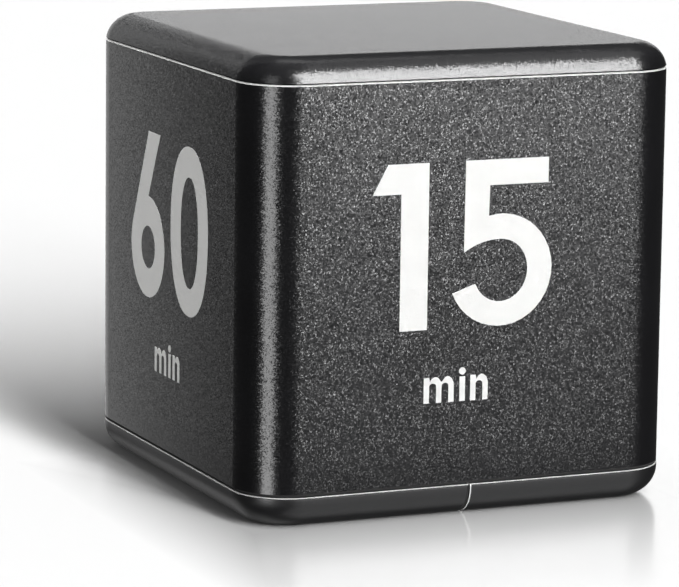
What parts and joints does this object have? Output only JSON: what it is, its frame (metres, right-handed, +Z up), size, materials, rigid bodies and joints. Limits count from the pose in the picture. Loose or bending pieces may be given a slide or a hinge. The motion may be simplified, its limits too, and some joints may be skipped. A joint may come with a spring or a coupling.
{
  "type": "cube timer",
  "caption": "Black cube-shaped countdown timer with a duration printed on each side wall, a plain top cap, and a base with a sliding battery door, small display and slide switch.",
  "frame": {"origin": "middle of the underside", "axes": "+Z up when the cube stands on its base, -Y towards the front wall, +X towards the battery door"},
  "size_m": [0.066, 0.066, 0.066],
  "materials": {
    "body_grain": "black moulded ABS with a fine sparkle grain",
    "cap_grain": "black moulded ABS with a fine soft grain",
    "base_grain": "black moulded ABS with a fine soft grain",
    "cell_wrap": "plain shrink sleeve over a metal can",
    "contact_nickel": "nickel plated steel",
    "red_wire": "red insulated wire",
    "black_wire": "black insulated wire",
    "board_laminate": "green coated laminate",
    "chip_epoxy": "black moulded epoxy",
    "tin_plate": "drawn tin plate",
    "window_acrylic": "clear acrylic",
    "display_glass": "grey display glass",
    "strip_rubber": "pink silicone strip",
    "holder_plastic": "off-white moulded plastic",
    "knob_plastic": "dark grey moulded plastic",
    "plug_plastic": "blue moulded plastic",
    "ball_steel": "polished steel",
    "screw_steel": "zinc plated steel"
  },
  "bodies": {
    "housing": {"body_shell": "body_grain", "top_cap": "cap_grain", "base": "base_grain", "cell_inner": "cell_wrap", "cell_outer": "cell_wrap", "positive_contact": "contact_nickel", "negative_contact": "contact_nickel", "bridge_contact": "contact_nickel", "negative_spring": "contact_nickel", "bridge_spring": "contact_nickel", "red_lead": "red_wire", "black_lead": "black_wire", "main_board": "board_laminate", "controller_chip": "chip_epoxy", "sounder": "chip_epoxy", "clock_crystal": "tin_plate", "switch_body": "tin_plate", "tilt_can_right": "tin_plate", "tilt_can_back": "tin_plate", "tilt_can_left": "tin_plate", "tilt_can_front": "tin_plate", "display_window": "window_acrylic", "display_glass": "display_glass", "display_strip": "strip_rubber", "display_holder": "holder_plastic", "tilt_plug_right": "plug_plastic", "tilt_plug_back": "plug_plastic", "tilt_plug_left": "plug_plastic", "tilt_plug_front": "plug_plastic", "base_screws": "screw_steel", "board_screws": "screw_steel"},
    "battery_door": {"battery_door": "base_grain"},
    "switch_slider": {"switch_knob": "knob_plastic", "switch_lever": "knob_plastic"},
    "ball_right": {"tilt_ball_right": "ball_steel"},
    "ball_back": {"tilt_ball_back": "ball_steel"},
    "ball_left": {"tilt_ball_left": "ball_steel"},
    "ball_front": {"tilt_ball_front": "ball_steel"}
  },
  "joints": [
    {"name": "door_slide", "type": "slide", "parent": "housing", "child": "battery_door", "axis": [1, 0, 0], "range_m": [0, 0.034]},
    {"name": "switch_slide", "type": "slide", "parent": "housing", "child": "switch_slider", "axis": [1, 0, 0], "range_m": [-0.002, 0.002]},
    {"name": "ball_right_roll", "type": "slide", "parent": "housing", "child": "ball_right", "axis": [1, 0, 0], "range_m": [0, 0.0024]},
    {"name": "ball_back_roll", "type": "slide", "parent": "housing", "child": "ball_back", "axis": [0, 1, 0], "range_m": [0, 0.0024]},
    {"name": "ball_left_roll", "type": "slide", "parent": "housing", "child": "ball_left", "axis": [-1, 0, 0], "range_m": [0, 0.0024]},
    {"name": "ball_front_roll", "type": "slide", "parent": "housing", "child": "ball_front", "axis": [0, -1, 0], "range_m": [0, 0.0024]}
  ]
}
